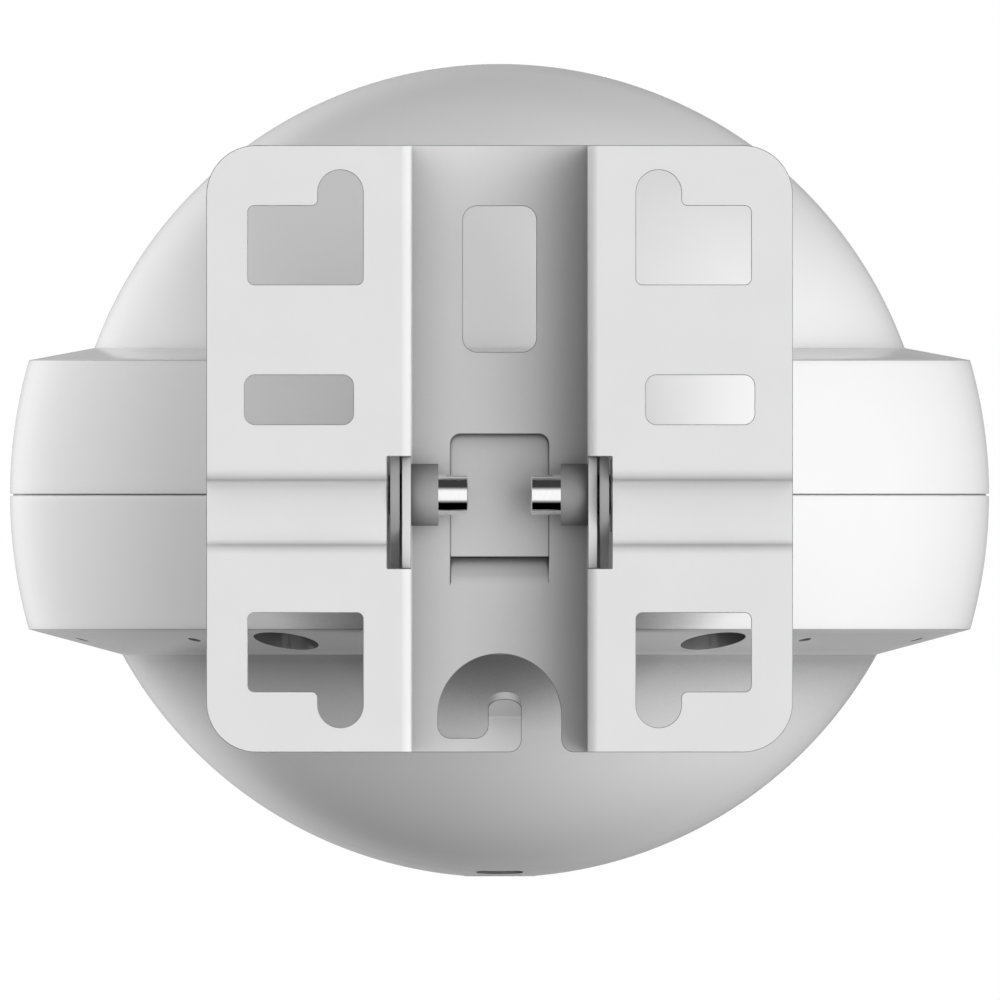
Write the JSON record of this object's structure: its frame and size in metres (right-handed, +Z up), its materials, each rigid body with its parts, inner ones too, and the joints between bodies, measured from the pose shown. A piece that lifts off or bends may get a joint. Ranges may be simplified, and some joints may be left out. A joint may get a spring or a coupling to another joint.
{
  "type": "outdoor wireless bridge",
  "caption": "Ball-shaped outdoor radio unit with a belt round its middle, on a tilting folded-steel bracket for walls and poles.",
  "frame": {"origin": "on the wall plane, in the middle of the bracket's width, at the height of the tilt axis", "axes": "+Z up; +Y away from the wall, towards the ball; +X to the right as seen from the wall"},
  "size_m": [0.235, 0.274, 0.195],
  "materials": {
    "bracket_paint": "light grey powder coat, fine grain",
    "arm_paint": "light grey powder coat",
    "nut_grey": "darker dull grey",
    "bright_bolt": "polished",
    "zinc_steel": "zinc plated",
    "shell_white": "smooth white, low roughness",
    "seal_rubber": "black",
    "vent_grey": "fine texture",
    "lens_smoke": "smoked",
    "circuit_board": "green solder resist",
    "jack_black": "moulded",
    "cast_aluminium": "as cast",
    "antenna_ceramic": "ceramic and laminate",
    "pad_grey": "soft thermal pad",
    "tin_plate": "tinned"
  },
  "bodies": {
    "bracket": {"wall_bracket": "bracket_paint", "pivot_nut_left": "nut_grey", "pivot_nut_right": "nut_grey", "tilt_bolt_left": "bright_bolt", "tilt_bolt_right": "bright_bolt", "tilt_washers": "zinc_steel"},
    "head": {"tilt_yoke": "arm_paint", "arm_saddle": "arm_paint", "saddle_gasket": "seal_rubber", "arm_screws": "zinc_steel", "upper_shell": "shell_white", "lower_shell": "shell_white", "shell_seal": "seal_rubber", "shell_screws": "zinc_steel", "vent_cap": "vent_grey", "status_lens": "lens_smoke", "status_board": "circuit_board", "jack_gaskets": "seal_rubber", "ethernet_jack_left": "jack_black", "ethernet_jack_right": "jack_black", "core_frame": "cast_aluminium", "radio_front_left": "antenna_ceramic", "radio_front_right": "antenna_ceramic", "radio_rear_left": "antenna_ceramic", "radio_rear_right": "antenna_ceramic", "thermal_pads": "pad_grey", "main_board": "circuit_board", "power_board": "circuit_board", "board_pillars": "zinc_steel", "board_screws": "zinc_steel", "shield_cans": "tin_plate", "power_magnetics": "jack_black", "heat_sink": "cast_aluminium", "gnss_antenna": "antenna_ceramic"}
  },
  "joints": [
    {"name": "tilt", "type": "hinge", "parent": "bracket", "child": "head", "pos_m": [0, 0.015, 0], "axis": [1, 0, 0], "range_deg": [-20, 20]}
  ]
}
